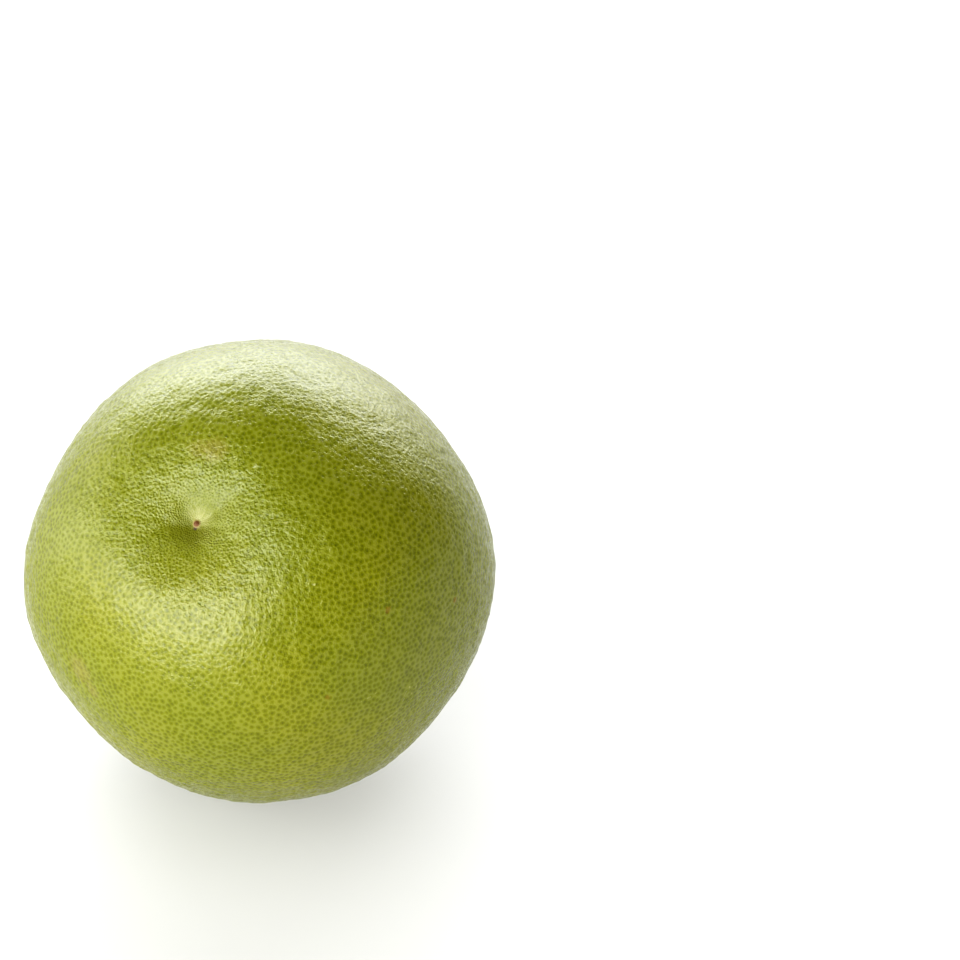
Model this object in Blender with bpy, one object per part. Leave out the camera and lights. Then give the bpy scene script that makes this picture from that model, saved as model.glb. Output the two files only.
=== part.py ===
"""Oroblanco, one whole fruit as picked, lying on the small flat spot it has settled on.

The blossom end is tilted up and forward, the stem end is down behind. The fruit is one closed
solid. It stands on the XY plane with its middle straight above the origin. Metres throughout.

The skin is worked out in the fruit's own frame: its middle at (0, 0, 0), +Z to the blossom end,
and headings counted round that axis from +X towards +Y.
"""

import math

import bpy
import numpy as np
from mathutils import Euler, Vector, geometry

# Body, measured from the middle of the fruit to its skin
EQUATOR_RADIUS = 0.0532
POLE_RADIUS = 0.0520  # before the two ends are dished in
SQUARENESS = 2.2  # 2 gives an ellipsoid, more gives fuller shoulders and flatter ends
SWELLINGS = (  # round the equator: how many, height, heading of a crest in degrees
    (2, 0.00045, 59.0),
    (3, 0.00014, 106.0),
    (4, 0.00059, 25.0),
    (5, 0.00017, 1.0),
    (6, 0.00034, 21.5),
)

# Blossom end: a wide dip, a funnel in it, and the dry stub of the style
BLOSSOM_DIP_DEPTH = 0.0048
BLOSSOM_DIP_REACH = 0.0162
BLOSSOM_FUNNEL_DEPTH = 0.0017
BLOSSOM_FUNNEL_REACH = 0.0050
BLOSSOM_FURROWS = (  # heading in degrees, depth, width of the furrow in degrees
    (45.0, 0.00055, 16.0),
    (205.0, 0.00040, 20.0),
    (300.0, 0.00025, 18.0),
)
STYLE_STUB_HEIGHT = 0.0007
STYLE_STUB_RADIUS = 0.00085

# Stem end: a basin with short furrows, and the flat round scar where the stalk came away
STEM_BASIN_DEPTH = 0.0048
STEM_BASIN_REACH = 0.0135
STEM_FURROWS = (
    (10.0, 0.00060, 13.0),
    (72.0, 0.00045, 11.0),
    (118.0, 0.00065, 13.0),
    (176.0, 0.00050, 12.0),
    (236.0, 0.00065, 14.0),
    (301.0, 0.00050, 12.0),
)
STEM_SCAR_RADIUS = 0.0027
STEM_SCAR_DEPTH = 0.0008
STEM_SCAR_WALL = 0.0005

# How the furrows run out from an end: they are deepest here, and fade both ways
FURROW_MIDDLE = 0.0075
FURROW_REACH = 0.0050

# Lie of the fruit
TILT = math.radians(41.5)  # of the blossom end from straight up
HEADING = math.radians(-24.3)  # the tilted end points to -Y, turned by this towards -X
MIDDLE_HEIGHT = 0.0532  # of the fruit's middle over the surface, which flattens the rest spot
REST_RIM_POINTS = 36
REST_RIM_CLEAR = 0.0015  # no other point of the skin is nearer than this to the spot's rim
REST_RIM_SEARCH = math.radians(30.0)  # from straight down, well outside the rim

# Facets: spacing of the points on the skin, fine at the two ends
SPACING = 0.0036
END_SPACING = 0.00048
SPACING_GROWTH = 0.22  # of spacing for each metre away from an end
ARC_STEPS = 4000

PEEL_GREEN = (0.300, 0.345, 0.030, 1.0)
PEEL_ROUGHNESS = 0.42

LIE = np.array(Euler((TILT, 0.0, HEADING)).to_matrix())  # the fruit's frame to the world


def bell(distance, reach):
    """1 at no distance, falling smoothly to nothing some way past the reach."""
    return np.exp(-((distance / reach) ** 2))


def furrows(heading, off_axis, marks):
    """Depth of the furrows that run out from one end, at these headings and distances."""
    along = bell(off_axis - FURROW_MIDDLE, FURROW_REACH)
    depth = np.zeros_like(heading)
    for middle, deep, wide in marks:
        turned = np.abs((np.degrees(heading) - middle + 180.0) % 360.0 - 180.0)
        depth += deep * bell(turned, wide)
    return depth * along


def round_radius(directions):
    """Distance from the middle to the skin along unit directions, before it is pressed flat."""
    across = np.hypot(directions[:, 0], directions[:, 1])
    along = directions[:, 2]
    heading = np.arctan2(directions[:, 1], directions[:, 0])
    radius = (
        (across / EQUATOR_RADIUS) ** SQUARENESS + (np.abs(along) / POLE_RADIUS) ** SQUARENESS
    ) ** (-1.0 / SQUARENESS)
    for count, height, crest in SWELLINGS:
        radius += height * np.cos(count * (heading - math.radians(crest))) * across**2
    off_axis = across * radius
    blossom = (
        BLOSSOM_DIP_DEPTH * bell(off_axis, BLOSSOM_DIP_REACH)
        + BLOSSOM_FUNNEL_DEPTH * bell(off_axis, BLOSSOM_FUNNEL_REACH)
        + furrows(heading, off_axis, BLOSSOM_FURROWS)
        - STYLE_STUB_HEIGHT * bell(off_axis, STYLE_STUB_RADIUS)
    )
    scar_floor = 1.0 / (1.0 + np.exp((off_axis - STEM_SCAR_RADIUS) / (STEM_SCAR_WALL / 4.0)))
    stem = (
        STEM_BASIN_DEPTH * bell(off_axis, STEM_BASIN_REACH)
        + furrows(heading, off_axis, STEM_FURROWS)
        + STEM_SCAR_DEPTH * scar_floor
    )
    return radius - np.where(along > 0.0, blossom, stem)


def spread_directions():
    """Unit directions spread over the whole fruit by the golden angle, closer near its ends."""
    angle = np.linspace(0.0, math.pi, ARC_STEPS)
    to_end = EQUATOR_RADIUS * np.minimum(angle, math.pi - angle)
    spacing = np.minimum(SPACING, END_SPACING + SPACING_GROWTH * to_end)
    points_per_area = 1.0 / (spacing**2 * math.sqrt(3.0) / 2.0)
    per_step = points_per_area * 2.0 * math.pi * EQUATOR_RADIUS**2 * np.sin(angle)
    so_far = np.concatenate([[0.0], np.cumsum((per_step[1:] + per_step[:-1]) / 2.0)])
    so_far *= math.pi / (ARC_STEPS - 1)
    count = int(so_far[-1])
    rank = np.arange(count)
    polar = np.interp((rank + 0.5) * so_far[-1] / count, so_far, angle)
    turn = rank * math.pi * (3.0 - math.sqrt(5.0))
    return np.stack(
        [np.sin(polar) * np.cos(turn), np.sin(polar) * np.sin(turn), np.cos(polar)], axis=1
    )


def rest_rim_directions():
    """Unit directions to the rim of the rest spot, where the round skin meets the surface."""
    turn = np.linspace(0.0, 2.0 * math.pi, REST_RIM_POINTS, endpoint=False)
    inside = np.zeros(REST_RIM_POINTS)
    outside = np.full(REST_RIM_POINTS, REST_RIM_SEARCH)
    for _ in range(40):
        angle = (inside + outside) / 2.0
        world = np.stack(
            [np.sin(angle) * np.cos(turn), np.sin(angle) * np.sin(turn), -np.cos(angle)], axis=1
        )
        directions = world @ LIE
        below = round_radius(directions) * np.cos(angle) > MIDDLE_HEIGHT
        inside = np.where(below, angle, inside)
        outside = np.where(below, outside, angle)
    return directions


def skin_directions():
    """The spread directions, with the rest spot's rim in place of those close to it.

    The last one points straight to the stem end."""
    spread = spread_directions()
    rim = rest_rim_directions()
    nearest = np.max(spread @ rim.T, axis=1)
    clear = nearest < math.cos(REST_RIM_CLEAR / MIDDLE_HEIGHT)
    stem_end = [(0.0, 0.0, -1.0)]
    return np.concatenate([spread[clear], rim, stem_end])


def sphere_triangles(directions):
    """Triangles between neighbours on the unit sphere, turning left as seen from outside.

    Seen from the stem end, the other points are drawn on a flat sheet and joined there. The
    open edge that is left round the sheet closes on the stem end, the last of the directions."""
    spread = directions[:-1]
    sheet = spread[:, :2] / (1.0 + spread[:, 2:])
    joined = geometry.delaunay_2d_cdt([Vector(point) for point in sheet], [], [], 0, 1e-9)
    triangles = np.array(joined[2])
    starts = triangles.ravel()
    ends = np.roll(triangles, -1, axis=1).ravel()
    count = len(directions)
    open_edges = ~np.isin(starts * count + ends, ends * count + starts)
    stem_end = np.full(open_edges.sum(), count - 1)
    closing = np.stack([ends[open_edges], starts[open_edges], stem_end], axis=1)
    return np.concatenate([triangles, closing])


def skin_points(directions):
    """The skin's points in the world, flat where the round body would reach under the surface."""
    world = directions @ LIE.T
    with_flat = MIDDLE_HEIGHT / np.maximum(-world[:, 2], 1e-6)
    radius = np.minimum(round_radius(directions), with_flat)
    return world * radius[:, None] + (0.0, 0.0, MIDDLE_HEIGHT)


def peel_material():
    material = bpy.data.materials.new("peel")
    material.use_nodes = True
    shader = material.node_tree.nodes["Principled BSDF"]
    shader.inputs["Base Color"].default_value = PEEL_GREEN
    shader.inputs["Roughness"].default_value = PEEL_ROUGHNESS
    shader.inputs["Metallic"].default_value = 0.0
    return material


def oroblanco_fruit():
    """The whole fruit: neighbours joined on a unit sphere, and each point moved to the skin."""
    directions = skin_directions()
    points = skin_points(directions)
    mesh = bpy.data.meshes.new("oroblanco_fruit")
    mesh.from_pydata(points.tolist(), [], sphere_triangles(directions).tolist())
    mesh.materials.append(peel_material())
    mesh.shade_smooth()
    mesh.set_sharp_from_angle(angle=math.radians(30.0))
    fruit = bpy.data.objects.new("oroblanco_fruit", mesh)
    bpy.context.scene.collection.objects.link(fruit)


def main():
    for leftover in list(bpy.data.objects):
        bpy.data.objects.remove(leftover)
    oroblanco_fruit()


main()
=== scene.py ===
import math

import bpy
import numpy as np
from mathutils import Euler, Matrix, Vector, geometry


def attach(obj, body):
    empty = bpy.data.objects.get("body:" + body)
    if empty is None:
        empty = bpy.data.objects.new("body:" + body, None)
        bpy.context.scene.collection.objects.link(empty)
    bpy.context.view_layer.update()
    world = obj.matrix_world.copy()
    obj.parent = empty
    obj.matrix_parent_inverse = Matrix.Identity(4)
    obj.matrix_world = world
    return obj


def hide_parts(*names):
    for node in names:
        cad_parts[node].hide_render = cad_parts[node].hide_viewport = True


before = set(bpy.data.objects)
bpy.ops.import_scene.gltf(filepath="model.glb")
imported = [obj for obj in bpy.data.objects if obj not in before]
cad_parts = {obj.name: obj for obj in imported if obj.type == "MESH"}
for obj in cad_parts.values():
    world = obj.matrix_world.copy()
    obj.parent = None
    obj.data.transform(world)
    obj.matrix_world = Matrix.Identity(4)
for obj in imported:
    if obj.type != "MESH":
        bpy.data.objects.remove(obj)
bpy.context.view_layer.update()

NODE = "oroblanco_fruit"

MILLIMETRES = 1000.0  # in a metre

# The body of the fruit, as the solid has it: from its middle to its skin, in metres
EQUATOR_RADIUS = 0.0532
POLE_RADIUS = 0.0520
SQUARENESS = 2.2

# Swellings round the girth: how many, height in metres, heading of one crest in degrees
SWELLINGS = (
    (2, 0.00045, 59.0),
    (3, 0.00014, 106.0),
    (4, 0.00059, 25.0),
    (5, 0.00017, 1.0),
    (6, 0.00034, 21.5),
)

# Furrows at the ends: heading in degrees, depth in metres, width in degrees
FURROW_MIDDLE = 0.0075
FURROW_REACH = 0.0050
BLOSSOM_FURROWS = (
    (45.0, 0.00055, 16.0),
    (205.0, 0.00040, 20.0),
    (300.0, 0.00025, 18.0),
)
STEM_FURROWS = (
    (10.0, 0.00060, 13.0),
    (72.0, 0.00045, 11.0),
    (118.0, 0.00065, 13.0),
    (176.0, 0.00050, 12.0),
    (236.0, 0.00065, 14.0),
    (301.0, 0.00050, 12.0),
)

BLOSSOM_DIP_DEPTH = 0.0048
BLOSSOM_DIP_REACH = 0.0162
BLOSSOM_FUNNEL_DEPTH = 0.0017
BLOSSOM_FUNNEL_REACH = 0.0050
STYLE_STUB_HEIGHT = 0.0007
STYLE_STUB_RADIUS = 0.00085
STEM_BASIN_DEPTH = 0.0048
STEM_BASIN_REACH = 0.0135
STEM_SCAR_RADIUS = 0.0027
STEM_SCAR_DEPTH = 0.0008
STEM_SCAR_WALL = 0.0005

# How the fruit lies
TILT = math.radians(41.5)
HEADING = math.radians(-24.3)
MIDDLE_HEIGHT = 0.0532
REST_RIM_SOFTNESS = 0.00022
LIE = np.array(Euler((TILT, 0.0, HEADING)).to_matrix())

# Oil glands: each is a pit and a dark dot in the skin, with the pale net of peel between them
GLAND_SPACING = 0.00146
END_GLAND_SPACING = 0.00030
GLAND_SPACING_GROWTH = 0.058  # for each metre from an end
GLAND_JITTER = 0.27  # of the spacing
GLAND_EVENING = 0.8  # of the way to the middle of the gland's cell
GLAND_PIT_DEPTH = 0.00008
PIT_VARIATION = (0.4, 1.6)  # least and most of the pit depth
NET_UNEVENNESS = 0.2  # of the pit depth, up or down
NET_SLOPE = 0.03  # of the shortest wall at a corner, the most that it moves up or down
ARC_STEPS = 6000
GOLDEN_ANGLE = math.pi * (3.0 - math.sqrt(5.0))
SEED = 11

# What delaunay_2d_cdt is asked for: triangles up to the hull, and points this near made one
HULL_TRIANGLES = 0
SAME_POINT = 1e-9

# Unevenness of the skin: wave length and height in metres. It fades out near both ends
LUMPS = (
    (0.0280, 0.00008),
    (0.0110, 0.00005),
    (0.0050, 0.000044),
    (0.0030, 0.000034),
    (0.0017, 0.000022),
)
WAVES_PER_LUMP_SIZE = 36
LUMP_FREE_REACH = 0.004

# Colours of the peel, its two ends and its marks
GLAND_DOT = (0.110, 0.125, 0.0, 1.0)
PEEL = (0.160, 0.174, 0.003, 1.0)
NET = (0.196, 0.209, 0.024, 1.0)
YELLOW_TINT = (1.22, 1.12, 0.9, 1.0)
# Olive: smooth skin by the style, darker partly as painted shade; cream: paler skin there, partly
# painted sheen
OLIVE_AND_SHADE = (0.142, 0.146, 0.0, 1.0)
CREAM_AND_SHEEN = (0.44, 0.43, 0.22, 1.0)
STYLE_PINK = (0.34, 0.27, 0.10, 1.0)
STYLE_BROWN = (0.17, 0.080, 0.030, 1.0)
STALK_RING_TAN = (0.42, 0.33, 0.12, 1.0)
STALK_SCAR_BROWN = (0.22, 0.13, 0.06, 1.0)
TAN = (0.27, 0.20, 0.07, 1.0)
RUST = (0.20, 0.12, 0.005, 1.0)
DARK_SLIT = (0.05, 0.03, 0.005, 1.0)
# Pale of the real scratches, and of two spots that are painted glints
PALE_SCRATCH_AND_GLINT = (0.50, 0.48, 0.24, 1.0)

# The glands' dots and net: where each step starts and ends, in half spacings from the gland
DOT_EDGE = (-0.10, 0.72)
NET_EDGE = (0.55, 1.15)
DOT_RAGGEDNESS = 0.7
DOT_SIZE_VARIATION = 0.38

# Noises: how many blobs there are in a metre, and how much finer detail they have
WOBBLE = (1700.0, 2.0)
YELLOW_PATCHES = (26.0, 2.5)
SCRATCH_BREAKS = (900.0, 1.0)
GLOSS_PATCHES = (180.0, 3.0)
GRAIN = (2200.0, 3.0)

# Rings of colour round the ends: distance in millimetres from the fruit's axis where each
# starts to fade and where it is gone, and its strength
SMOOTH_RING = (1.5, 7.0, 0.75)
# The olive ring is partly painted shade and the cream ring partly painted sheen, on opposite sides
# of the style
OLIVE_SHADE_RING = (2.0, 9.0, 0.8)
CREAM_SHEEN_RING = (0.7, 5.6, 0.66)
PINK_RING = (0.75, 1.2, 0.7)
STYLE_STUB_RING = (0.50, 0.85, 1.0)
STALK_RING = (2.7, 4.2, 1.0)
STALK_SCAR_RING = (2.0, 2.8, 1.0)
OTHER_END = 99.0  # added to the distance on the other half, past every ring

# Round the style the skin is cream coloured on this side, which is partly a painted sheen of the
# lit slope, and smooth and olive on the other,
#  which is partly painted shade of the slope turned from the light, and pale rays run out from it
PALE_SHEEN_SIDE = (0.17, 0.98, 0.0)
RAYS = (7.0, 2.0)
RAY_DRIFT = (0.04, 0.04, 0.04)

# Smooth steps: where a value starts and ends its step, and what comes out there
OLIVE_SHADE_SIDE = (-0.4, 0.5, 1.0, 0.0)
CREAM_SHEEN_SIDE = (-0.3, 0.8, 0.06, 1.0)
RAY_STEP = (0.35, 0.65, 0.55, 1.0)
YELLOW_STEP = (0.42, 0.68, 0.0, 0.45)
SCRATCH_BREAK_STEP = (0.42, 0.58, 0.0, 1.0)
ROUGHNESS_STEP = (0.3, 0.7, 0.10, 0.17)

# Marks on the skin: place on the fruit in millimetres, reach in millimetres, strength, colour
MARKS = (
    ((-0.4, 16.9, 48.5), 4.0, 0.26, TAN),
    ((-4.4, 16.0, 48.4), 3.0, 0.20, TAN),
    ((-21.0, -37.5, 33.0), 5.0, 0.25, TAN),
    ((-17.0, -40.5, 30.5), 2.6, 0.25, TAN),
    ((44.2, -5.0, 30.4), 1.1, 0.60, RUST),
    ((52.2, 3.9, 12.0), 1.0, 0.60, RUST),
    ((36.5, -27.5, 28.8), 0.9, 0.50, RUST),
    # Two painted glints: small pale spots that stand for tiny highlights
    ((30.6, -5.8, 43.5), 0.5, 0.40, PALE_SCRATCH_AND_GLINT),
    ((21.3, 5.2, 47.9), 0.6, 0.40, PALE_SCRATCH_AND_GLINT),
    ((0.1, -1.1, 45.7), 0.6, 1.0, DARK_SLIT),
)
MARK_CORE = 0.35  # of its reach, where a mark starts to fade

# Fine pale scratches: from one place on the fruit to another, in millimetres
SCRATCHES = (
    ((44.4, -26.7, 10.4), (46.0, -23.9, 9.4)),
    ((46.0, -23.7, 9.5), (47.2, -20.9, 10.2)),
    ((47.2, -20.4, 11.3), (48.0, -18.0, 11.7)),
    ((47.1, -21.9, 7.8), (48.0, -19.6, 7.7)),
    ((48.0, -19.1, 9.1), (48.7, -17.1, 9.6)),
    ((41.6, -25.8, 21.7), (43.2, -23.8, 20.4)),
    ((43.5, -23.1, 20.2), (44.3, -21.6, 20.1)),
)
SCRATCH_REACH = 0.4
SCRATCH_STRENGTH = 0.35
SCRATCH_RAGGEDNESS = 0.5

# The peel's gloss and its finest relief, in metres
GLOSS_LEVEL = 0.62
SHEEN_WEIGHT = 0.03
SHEEN_ROUGHNESS = 0.35
CREST_HEIGHT = 0.00004
GRAIN_HEIGHT = 0.00020
BUMP_STRENGTH = 0.9

# Sockets of the Mix node when it mixes colours, which share their names with others
MIX_AMOUNT = 0
MIX_FIRST = 6
MIX_SECOND = 7
MIX_RESULT = 2

# The photograph's view
CAMERA_ELEVATION = math.radians(36.0)
CAMERA_DISTANCE = 1.15
IMAGE_PIXELS = 960
PIXEL_SIZE = 0.0002328  # of a pixel at the fruit's distance, in metres
FRUIT_MIDDLE_PIXEL = (260.7, 571.5)
SENSOR = 36.0  # in millimetres
VIEW_TRANSFORM = "Standard"
VIEW_LOOK = "Very High Contrast"

# Lights: azimuth in degrees from -Y, the camera's side, towards +X, elevation in degrees,
# distance, width and height in metres, radiance on matte surfaces and in gloss, colour
WHITE = (1.0, 1.0, 1.0)
PALE_BLUE = (0.92, 0.93, 1.0)
COOL = (0.76, 0.79, 1.0)
LIGHTS = {
    "back_light": (180.0, 37.0, 1.0, 1.50, 0.40, 4.0, 4.8, PALE_BLUE),
    "low_back_light": (180.0, 12.5, 1.0, 1.90, 0.40, 2.2, 3.0, PALE_BLUE),
    "front_left_light": (-39.0, 26.5, 0.90, 0.94, 0.66, 0.8, 5.0, COOL),
    "left_light": (-100.0, 12.0, 1.0, 0.60, 0.50, 1.0, 3.2, PALE_BLUE),
    "low_front_light": (-32.0, 4.0, 1.0, 1.50, 0.34, 7.4, 0.0, WHITE),
    "right_light": (70.0, 5.0, 1.1, 0.60, 0.50, 4.5, 0.0, WHITE),
    "top_front_light": (-40.0, 62.0, 1.0, 1.20, 1.20, 1.50, 0.0, WHITE),
}
GLOW_BEHIND_SHINE = 0.02  # in metres
SURROUNDINGS_STRENGTH = 0.16

FLOOR_HALF_WIDTH = 30.0
FLOOR_DROP = 0.0002
FLOOR_COLOUR = (0.32, 0.32, 0.295, 1.0)
FLOOR_GLOW = 0.29
FLOOR_ROUGHNESS = 0.6
FLOOR_GLOSS_LEVEL = 0.2


def bell(distance, reach):
    """One at distance 0, falling smoothly to nearly nothing at twice the reach."""
    return np.exp(-((distance / reach) ** 2))


def furrows(heading, off_axis, marks):
    """Depth of the furrows that run out from an end."""
    along = bell(off_axis - FURROW_MIDDLE, FURROW_REACH)
    depth = np.zeros_like(heading)
    for middle, deep, wide in marks:
        turned = np.abs((np.degrees(heading) - middle + 180.0) % 360.0 - 180.0)
        depth += deep * bell(turned, wide)
    return depth * along


def round_radius(directions):
    """Distance from the middle to the skin along unit directions, before it is pressed flat."""
    across = np.hypot(directions[:, 0], directions[:, 1])
    along = directions[:, 2]
    heading = np.arctan2(directions[:, 1], directions[:, 0])
    radius = (
        (across / EQUATOR_RADIUS) ** SQUARENESS + (np.abs(along) / POLE_RADIUS) ** SQUARENESS
    ) ** (-1.0 / SQUARENESS)
    for count, height, crest in SWELLINGS:
        radius += height * np.cos(count * (heading - math.radians(crest))) * across**2
    off_axis = across * radius
    blossom = (
        BLOSSOM_DIP_DEPTH * bell(off_axis, BLOSSOM_DIP_REACH)
        + BLOSSOM_FUNNEL_DEPTH * bell(off_axis, BLOSSOM_FUNNEL_REACH)
        + furrows(heading, off_axis, BLOSSOM_FURROWS)
        - STYLE_STUB_HEIGHT * bell(off_axis, STYLE_STUB_RADIUS)
    )
    scar_floor = 1.0 / (1.0 + np.exp((off_axis - STEM_SCAR_RADIUS) / (STEM_SCAR_WALL / 4.0)))
    stem = (
        STEM_BASIN_DEPTH * bell(off_axis, STEM_BASIN_REACH)
        + furrows(heading, off_axis, STEM_FURROWS)
        + STEM_SCAR_DEPTH * scar_floor
    )
    return radius - np.where(along > 0.0, blossom, stem)


def unit(vectors):
    """The vectors at length one."""
    return vectors / np.linalg.norm(vectors, axis=1)[:, None]


def gland_directions(random):
    """Unit directions to the oil glands, and how far apart they are there.

    They follow a spiral from the blossom end, with a turn of the golden angle from each to
    the next, and its pitch gives each gland the area of a cell of a honeycomb."""
    angle = np.linspace(0.0, math.pi, ARC_STEPS)
    to_end = EQUATOR_RADIUS * np.minimum(angle, math.pi - angle)
    spacing = np.minimum(GLAND_SPACING, END_GLAND_SPACING + GLAND_SPACING_GROWTH * to_end)
    points_per_area = 1.0 / (spacing**2 * math.sqrt(3.0) / 2.0)
    per_step = points_per_area * 2.0 * math.pi * EQUATOR_RADIUS**2 * np.sin(angle)
    so_far = np.concatenate([[0.0], np.cumsum((per_step[1:] + per_step[:-1]) / 2.0)])
    so_far *= math.pi / (ARC_STEPS - 1)
    count = int(so_far[-1])
    rank = np.arange(count)
    polar = np.interp((rank + 0.5) * so_far[-1] / count, so_far, angle)
    turn = rank * GOLDEN_ANGLE
    directions = np.stack(
        [np.sin(polar) * np.cos(turn), np.sin(polar) * np.sin(turn), np.cos(polar)], axis=1
    )
    apart = np.interp(polar, angle, spacing)
    shift = random.normal(size=directions.shape) * (GLAND_JITTER / EQUATOR_RADIUS) * apart[:, None]
    directions = unit(directions + shift)
    stem_end = np.array([[0.0, 0.0, -1.0]])
    return np.concatenate([directions, stem_end]), np.append(apart, END_GLAND_SPACING)


def edges(triangles):
    """Where each side of each triangle starts, and where it ends."""
    return triangles.ravel(), np.roll(triangles, -1, axis=1).ravel()


def sphere_triangles(directions):
    """Triangles between near neighbours on the unit sphere, turning left seen from outside.

    The last direction is the stem end: the others are drawn flat from it, and joined there."""
    spread = directions[:-1]
    flat = spread[:, :2] / (1.0 + spread[:, 2:])
    points = [Vector(point) for point in flat]
    joined = geometry.delaunay_2d_cdt(points, [], [], HULL_TRIANGLES, SAME_POINT)
    triangles = np.array(joined[2])
    starts, ends = edges(triangles)
    count = len(directions)
    open_edges = ~np.isin(starts * count + ends, ends * count + starts)
    last = np.full(open_edges.sum(), count - 1)
    fan = np.stack([ends[open_edges], starts[open_edges], last], axis=1)
    return np.concatenate([triangles, fan])


def cell_corners(directions, triangles):
    """For each triangle, the direction that is equally far from its three ends."""
    first, second, third = (directions[triangles[:, side]] for side in range(3))
    return unit(np.cross(second - first, third - first))


def evened_out(directions):
    """The directions moved some way to the middle of their cells, the stem end kept."""
    triangles = sphere_triangles(directions)
    corners = cell_corners(directions, triangles)
    total = np.zeros_like(directions)
    for side in range(3):
        np.add.at(total, triangles[:, side], corners)
    total[-1] = directions[-1]
    return unit(directions * (1.0 - GLAND_EVENING) + unit(total) * GLAND_EVENING)


def cell_faces(triangles, gland_count):
    """Fans round the glands: each face joins a gland to the two ends of a wall of its cell.

    The corners of the cells, one for each triangle, are numbered on from the glands."""
    starts, ends = edges(triangles)
    owner = np.repeat(np.arange(len(triangles)), 3)
    forward = starts * gland_count + ends
    backward = ends * gland_count + starts
    order = np.argsort(forward)
    across_edge = owner[order[np.searchsorted(forward, backward, sorter=order)]]
    return np.stack([starts, gland_count + across_edge, gland_count + owner], axis=1)


def shortest_walls(directions, faces, gland_count):
    """For each corner of the cells, the shortest of the walls that meet there, in metres."""
    wall = np.linalg.norm(directions[faces[:, 1]] - directions[faces[:, 2]], axis=1)
    shortest = np.full(len(directions) - gland_count, np.inf)
    for side in (1, 2):
        np.minimum.at(shortest, faces[:, side] - gland_count, wall * EQUATOR_RADIUS)
    return shortest


def lump_height(points, random):
    """Height of the skin's slight unevenness at points in metres."""
    height = np.zeros(len(points))
    for wave_length, size in LUMPS:
        ways = unit(random.normal(size=(WAVES_PER_LUMP_SIZE, 3))) * 2.0 * math.pi / wave_length
        starts = random.uniform(0.0, 2.0 * math.pi, WAVES_PER_LUMP_SIZE)
        waves = np.cos(points @ ways.T + starts)
        height += waves.sum(axis=1) * size * math.sqrt(2.0 / WAVES_PER_LUMP_SIZE)
    return height


def skin_radius(directions, faces, apart, gland_count, random):
    """Distance from the middle to the skin with its pits, its net and its lumps.

    The glands lie half of a pit's depth below the round body, and the net as much above it."""
    radius = round_radius(directions)
    pit = GLAND_PIT_DEPTH * (apart / GLAND_SPACING)
    deeper = random.uniform(*PIT_VARIATION, gland_count)
    radius[:gland_count] -= pit[:gland_count] * deeper * 0.5
    net = pit[gland_count:]
    gentle = NET_SLOPE * shortest_walls(directions, faces, gland_count)
    uneven = np.minimum(NET_UNEVENNESS * net, gentle)
    radius[gland_count:] += 0.5 * net + uneven * random.uniform(-1.0, 1.0, len(net))
    off_axis = np.hypot(directions[:, 0], directions[:, 1]) * radius
    lumpy = 1.0 - bell(off_axis, LUMP_FREE_REACH)
    return radius + lump_height(directions * EQUATOR_RADIUS, random) * lumpy


def pressed_flat(world):
    """The points with those that would go under the surface pressed onto it, rim rounded."""
    above = world[:, 2] / REST_RIM_SOFTNESS
    eased = REST_RIM_SOFTNESS * np.logaddexp(0.0, above)
    return np.concatenate([world[:, :2], eased[:, None]], axis=1)


def give_attribute(mesh, name, kind, domain, field, values):
    attribute = mesh.attributes.new(name, kind, domain)
    attribute.data.foreach_set(field, values.astype(np.float32).ravel())


def skin_mesh():
    """The skin as a net of cells, one for each oil gland, with what its material reads.

    The material reads gland_offset, the way from the gland in half spacings, gland_tone, a
    number of the gland's own, and fruit_place, the place on the upright fruit in millimetres."""
    random = np.random.default_rng(SEED)
    glands, apart = gland_directions(random)
    glands = evened_out(glands)
    gland_count = len(glands)
    triangles = sphere_triangles(glands)
    faces = cell_faces(triangles, gland_count)
    directions = np.concatenate([glands, cell_corners(glands, triangles)])
    local_apart = np.concatenate([apart, apart[triangles].mean(axis=1)])
    radius = skin_radius(directions, faces, local_apart, gland_count, random)
    local = directions * radius[:, None]
    world = pressed_flat(local @ LIE.T + (0.0, 0.0, MIDDLE_HEIGHT))

    mesh = bpy.data.meshes.new("peel")
    mesh.from_pydata(world.tolist(), [], faces.tolist())
    mesh.update()
    own_gland = np.repeat(faces[:, 0], 3)
    offset = local[faces.ravel()] - local[own_gland]
    offset /= 0.5 * apart[own_gland][:, None]
    tone = random.uniform(0.0, 1.0, gland_count)[own_gland]
    give_attribute(mesh, "gland_offset", "FLOAT_VECTOR", "CORNER", "vector", offset)
    give_attribute(mesh, "gland_tone", "FLOAT", "CORNER", "value", tone)
    place = local * MILLIMETRES
    give_attribute(mesh, "fruit_place", "FLOAT_VECTOR", "POINT", "vector", place)
    mesh.shade_smooth()
    return mesh


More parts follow.
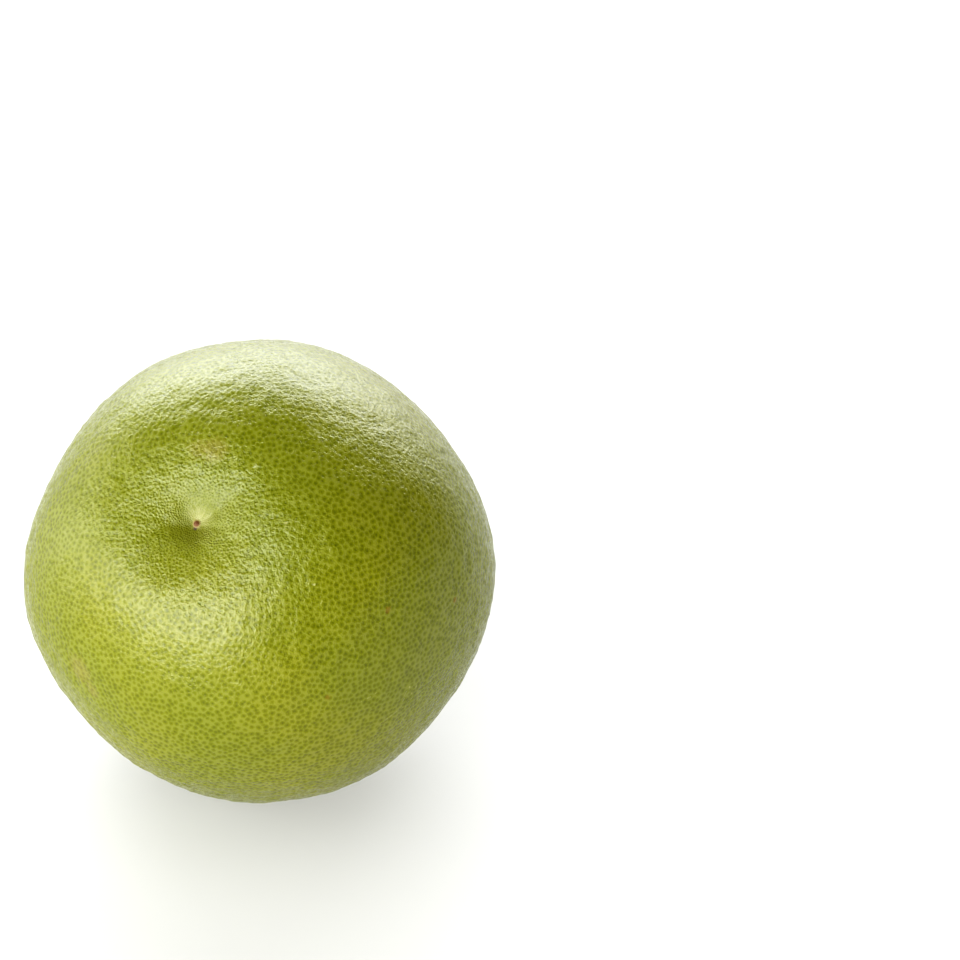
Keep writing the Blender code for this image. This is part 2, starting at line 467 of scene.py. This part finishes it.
class Nodes:
    """Short calls for making and joining a material's nodes."""

    def __init__(self, name):
        self.material = bpy.data.materials.new(name)
        self.material.use_nodes = True
        self.tree = self.material.node_tree
        self.shader = self.tree.nodes["Principled BSDF"]

    def add(self, kind, **settings):
        node = self.tree.nodes.new(kind)
        for name, value in settings.items():
            setattr(node, name, value)
        return node

    def put(self, socket, value):
        if isinstance(value, bpy.types.NodeSocket):
            self.tree.links.new(value, socket)
        else:
            socket.default_value = value

    def attribute(self, name, output="Fac"):
        return self.add("ShaderNodeAttribute", attribute_name=name).outputs[output]

    def math(self, operation, *values):
        node = self.add("ShaderNodeMath", operation=operation)
        for socket, value in zip(node.inputs, values):
            self.put(socket, value)
        return node.outputs[0]

    def centred(self, value, width):
        """A value that runs from 0 to 1, made to run over the width with its middle at 0."""
        return self.math("MULTIPLY_ADD", value, width, -0.5 * width)

    def ramp(self, value, low, high, bottom=0.0, top=1.0):
        """Smoothly from bottom to top as the value goes from low to high."""
        node = self.add("ShaderNodeMapRange", interpolation_type="SMOOTHSTEP")
        for socket, number in zip(node.inputs, (value, low, high, bottom, top)):
            self.put(socket, number)
        return node.outputs[0]

    def ring(self, distance, start, end, strength):
        """The strength up to the start of a ring's fade, and nothing past its end."""
        return self.ramp(distance, start, end, strength, 0.0)

    def mix(self, amount, first, second, blend="MIX"):
        node = self.add("ShaderNodeMix", data_type="RGBA", blend_type=blend)
        self.put(node.inputs[MIX_AMOUNT], amount)
        self.put(node.inputs[MIX_FIRST], first)
        self.put(node.inputs[MIX_SECOND], second)
        return node.outputs[MIX_RESULT]

    def vector(self, operation, first, second=None, output="Vector"):
        node = self.add("ShaderNodeVectorMath", operation=operation)
        self.put(node.inputs[0], first)
        if second is not None:
            self.put(node.inputs[1], second)
        return node.outputs[output]

    def noise(self, scale, detail, vector=None):
        node = self.add("ShaderNodeTexNoise")
        self.put(node.inputs["Scale"], scale)
        self.put(node.inputs["Detail"], detail)
        if vector is None:
            vector = self.add("ShaderNodeTexCoord").outputs["Object"]
        self.put(node.inputs["Vector"], vector)
        return node.outputs[0]

    def bump(self, height, distance, normal=None):
        node = self.add("ShaderNodeBump")
        self.put(node.inputs["Height"], height)
        self.put(node.inputs["Distance"], distance)
        self.put(node.inputs["Strength"], BUMP_STRENGTH)
        if normal is not None:
            self.put(node.inputs["Normal"], normal)
        return node.outputs[0]


def gland_steps(nodes, wobble):
    """How far each place is out of its gland's dark dot, and how far into the pale net."""
    offset = nodes.attribute("gland_offset", "Vector")
    reach = nodes.vector("LENGTH", offset, output="Value")
    reach = nodes.math("ADD", reach, nodes.centred(wobble, DOT_RAGGEDNESS))
    tone = nodes.attribute("gland_tone")
    reach = nodes.math("ADD", reach, nodes.centred(tone, -DOT_SIZE_VARIATION))
    return nodes.ramp(reach, *DOT_EDGE), nodes.ramp(reach, *NET_EDGE)


def end_distances(nodes, place, across):
    """Distances from the fruit's axis, for the blossom end and for the stem end.

    Each is more than OTHER_END on the half of the fruit that isn't its own."""
    off_axis = nodes.vector("LENGTH", across, output="Value")
    along = nodes.vector("DOT_PRODUCT", place, (0.0, 0.0, 1.0), "Value")
    blossom_half = nodes.math("GREATER_THAN", along, 0.0)
    past_other_end = nodes.math("ADD", off_axis, OTHER_END)
    from_style = nodes.math("MULTIPLY_ADD", blossom_half, -OTHER_END, past_other_end)
    from_stalk = nodes.math("MULTIPLY_ADD", blossom_half, OTHER_END, off_axis)
    return from_style, from_stalk


def with_style_surroundings(nodes, colour, place, across, from_style):
    """The colour with the glands fading out towards the style, its olive side darkened partly as
    painted shade and its cream side paled partly as painted sheen.
    """
    way = nodes.vector("NORMALIZE", across)
    sheen_way = nodes.vector("DOT_PRODUCT", way, PALE_SHEEN_SIDE, "Value")
    drift = nodes.vector("MULTIPLY", place, RAY_DRIFT)
    rays = nodes.noise(*RAYS, nodes.vector("ADD", way, drift))

    smooth = nodes.ring(from_style, *SMOOTH_RING)
    colour = nodes.mix(smooth, colour, PEEL)
    # Painted shade: darker olive skin on the side of the style turned away from the light
    olive_shade = nodes.ring(from_style, *OLIVE_SHADE_RING)
    olive_shade = nodes.math("MULTIPLY", olive_shade, nodes.ramp(sheen_way, *OLIVE_SHADE_SIDE))
    colour = nodes.mix(olive_shade, colour, OLIVE_AND_SHADE)
    # Painted sheen: paler cream skin with pale rays on the side of the style that faces the light
    cream_sheen = nodes.ring(from_style, *CREAM_SHEEN_RING)
    cream_sheen = nodes.math("MULTIPLY", cream_sheen, nodes.ramp(sheen_way, *CREAM_SHEEN_SIDE))
    cream_sheen = nodes.math("MULTIPLY", cream_sheen, nodes.ramp(rays, *RAY_STEP))
    return nodes.mix(cream_sheen, colour, CREAM_AND_SHEEN)


def with_marks(nodes, colour, place, wobble):
    """The colour with the tan patches, rust specks, two painted glints and slit, each with a
    ragged edge.
    """
    for spot, reach, strength, tint in MARKS:
        away = nodes.vector("DISTANCE", place, spot, "Value")
        away = nodes.math("ADD", away, nodes.centred(wobble, reach))
        amount = nodes.ring(away, MARK_CORE * reach, reach, strength)
        colour = nodes.mix(amount, colour, tint)
    return colour


def with_scratches(nodes, colour, place, wobble):
    """The colour with the fine pale scratches, broken here and there."""
    unbroken = nodes.ramp(nodes.noise(*SCRATCH_BREAKS), *SCRATCH_BREAK_STEP)
    for start, end in SCRATCHES:
        stroke = Vector(end) - Vector(start)
        offset = nodes.vector("SUBTRACT", place, start)
        share = nodes.vector("DOT_PRODUCT", offset, stroke / stroke.length_squared, "Value")
        share = nodes.math("MINIMUM", nodes.math("MAXIMUM", share, 0.0), 1.0)
        away = nodes.vector("DISTANCE", offset, nodes.vector("MULTIPLY", stroke, share), "Value")
        away = nodes.math("ADD", away, nodes.centred(wobble, SCRATCH_RAGGEDNESS))
        amount = nodes.ring(away, 0.0, SCRATCH_REACH, SCRATCH_STRENGTH)
        colour = nodes.mix(nodes.math("MULTIPLY", amount, unbroken), colour, PALE_SCRATCH_AND_GLINT)
    return colour


def with_ends(nodes, colour, from_style, from_stalk):
    """The colour with the brown stub in its pink ring, and the stalk scar in its tan one."""
    rings = (
        (from_style, PINK_RING, STYLE_PINK),
        (from_style, STYLE_STUB_RING, STYLE_BROWN),
        (from_stalk, STALK_RING, STALK_RING_TAN),
        (from_stalk, STALK_SCAR_RING, STALK_SCAR_BROWN),
    )
    for distance, ring, tint in rings:
        colour = nodes.mix(nodes.ring(distance, *ring), colour, tint)
    return colour


def peel_material():
    nodes = Nodes("peel")
    wobble = nodes.noise(*WOBBLE)
    out_of_dot, into_net = gland_steps(nodes, wobble)
    colour = nodes.mix(out_of_dot, GLAND_DOT, PEEL)
    colour = nodes.mix(into_net, colour, NET)
    yellow = nodes.ramp(nodes.noise(*YELLOW_PATCHES), *YELLOW_STEP)
    colour = nodes.mix(yellow, colour, YELLOW_TINT, "MULTIPLY")

    place = nodes.attribute("fruit_place", "Vector")
    across = nodes.vector("MULTIPLY", place, (1.0, 1.0, 0.0))
    from_style, from_stalk = end_distances(nodes, place, across)
    colour = with_style_surroundings(nodes, colour, place, across, from_style)
    colour = with_marks(nodes, colour, place, wobble)
    colour = with_scratches(nodes, colour, place, wobble)
    colour = with_ends(nodes, colour, from_style, from_stalk)
    nodes.put(nodes.shader.inputs["Base Color"], colour)

    rough = nodes.ramp(nodes.noise(*GLOSS_PATCHES), *ROUGHNESS_STEP)
    nodes.put(nodes.shader.inputs["Roughness"], rough)
    nodes.put(nodes.shader.inputs["Specular IOR Level"], GLOSS_LEVEL)
    nodes.put(nodes.shader.inputs["Sheen Weight"], SHEEN_WEIGHT)
    nodes.put(nodes.shader.inputs["Sheen Roughness"], SHEEN_ROUGHNESS)

    crests = nodes.bump(nodes.math("ADD", out_of_dot, into_net), CREST_HEIGHT)
    grain = nodes.bump(nodes.noise(*GRAIN), GRAIN_HEIGHT, crests)
    nodes.put(nodes.shader.inputs["Normal"], grain)
    return nodes.material


def make_fruit():
    fruit = bpy.data.objects.new("peel", skin_mesh())
    bpy.context.scene.collection.objects.link(fruit)
    fruit.data.materials.append(peel_material())
    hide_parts(NODE)
    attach(fruit, "root")


def make_camera():
    """A camera level from side to side, with the fruit's middle where the photograph has it."""
    back = Vector((0.0, -math.cos(CAMERA_ELEVATION), math.sin(CAMERA_ELEVATION)))
    up = Vector((0.0, math.sin(CAMERA_ELEVATION), math.cos(CAMERA_ELEVATION)))
    right = Vector((1.0, 0.0, 0.0))
    middle = Vector((0.0, 0.0, MIDDLE_HEIGHT))
    half = IMAGE_PIXELS / 2.0
    target = (
        middle
        + right * (half - FRUIT_MIDDLE_PIXEL[0]) * PIXEL_SIZE
        + up * (FRUIT_MIDDLE_PIXEL[1] - half) * PIXEL_SIZE
    )
    data = bpy.data.cameras.new("camera")
    data.sensor_width = SENSOR
    data.lens = SENSOR * CAMERA_DISTANCE / (IMAGE_PIXELS * PIXEL_SIZE)
    camera = bpy.data.objects.new("camera", data)
    axes = Matrix((right, up, back)).transposed()
    camera.matrix_world = Matrix.Translation(target + back * CAMERA_DISTANCE) @ axes.to_4x4()
    bpy.context.scene.collection.objects.link(camera)
    bpy.context.scene.camera = camera


def make_floor():
    """A plain pale floor with a faint glow, just under the fruit."""
    half = FLOOR_HALF_WIDTH
    corners = [(-half, -half, 0), (half, -half, 0), (half, half, 0), (-half, half, 0)]
    mesh = bpy.data.meshes.new("floor")
    mesh.from_pydata(corners, [], [(0, 1, 2, 3)])
    floor = bpy.data.objects.new("floor", mesh)
    bpy.context.scene.collection.objects.link(floor)
    nodes = Nodes("floor")
    nodes.put(nodes.shader.inputs["Base Color"], FLOOR_COLOUR)
    nodes.put(nodes.shader.inputs["Emission Color"], (*WHITE, 1.0))
    nodes.put(nodes.shader.inputs["Emission Strength"], FLOOR_GLOW)
    nodes.put(nodes.shader.inputs["Roughness"], FLOOR_ROUGHNESS)
    nodes.put(nodes.shader.inputs["Specular IOR Level"], FLOOR_GLOSS_LEVEL)
    mesh.materials.append(nodes.material)
    floor.location.z = -FLOOR_DROP


def area_light(name, away, distance, width, height, radiance, colour):
    """A flat lamp aimed at the fruit's middle, which the camera doesn't see."""
    data = bpy.data.lights.new(name, "AREA")
    data.shape = "RECTANGLE"
    data.color = colour
    data.size = width
    data.size_y = height
    data.energy = radiance * math.pi * width * height
    light = bpy.data.objects.new(name, data)
    light.location = Vector((0.0, 0.0, MIDDLE_HEIGHT)) + away * distance
    light.rotation_euler = away.to_track_quat("Z", "Y").to_euler()
    light.visible_camera = False
    bpy.context.scene.collection.objects.link(light)
    return light


def softbox(name, azimuth, elevation, distance, width, height, glow, shine, colour):
    """A studio light as two lamps, one that shows in gloss and one for matte surfaces.

    The matte one stands a little behind, as two lamps in one plane can hide each other."""
    turn = math.radians(azimuth)
    rise = math.radians(elevation)
    level = Vector((math.sin(turn), -math.cos(turn), 0.0))
    away = level * math.cos(rise) + Vector((0.0, 0.0, math.sin(rise)))
    if shine:
        lamp = area_light(f"{name}_shine", away, distance, width, height, shine, colour)
        lamp.visible_diffuse = False
    far = distance + GLOW_BEHIND_SHINE
    lamp = area_light(f"{name}_glow", away, far, width, height, glow, colour)
    lamp.visible_glossy = False


def make_light():
    for name, values in LIGHTS.items():
        softbox(name, *values)
    world = bpy.data.worlds.new("studio")
    world.use_nodes = True
    background = world.node_tree.nodes["Background"]
    background.inputs["Color"].default_value = (*WHITE, 1.0)
    background.inputs["Strength"].default_value = SURROUNDINGS_STRENGTH
    bpy.context.scene.world = world


make_fruit()
make_camera()
make_floor()
make_light()
bpy.context.scene.view_settings.view_transform = VIEW_TRANSFORM
bpy.context.scene.view_settings.look = VIEW_LOOK

bpy.context.view_layer.update()
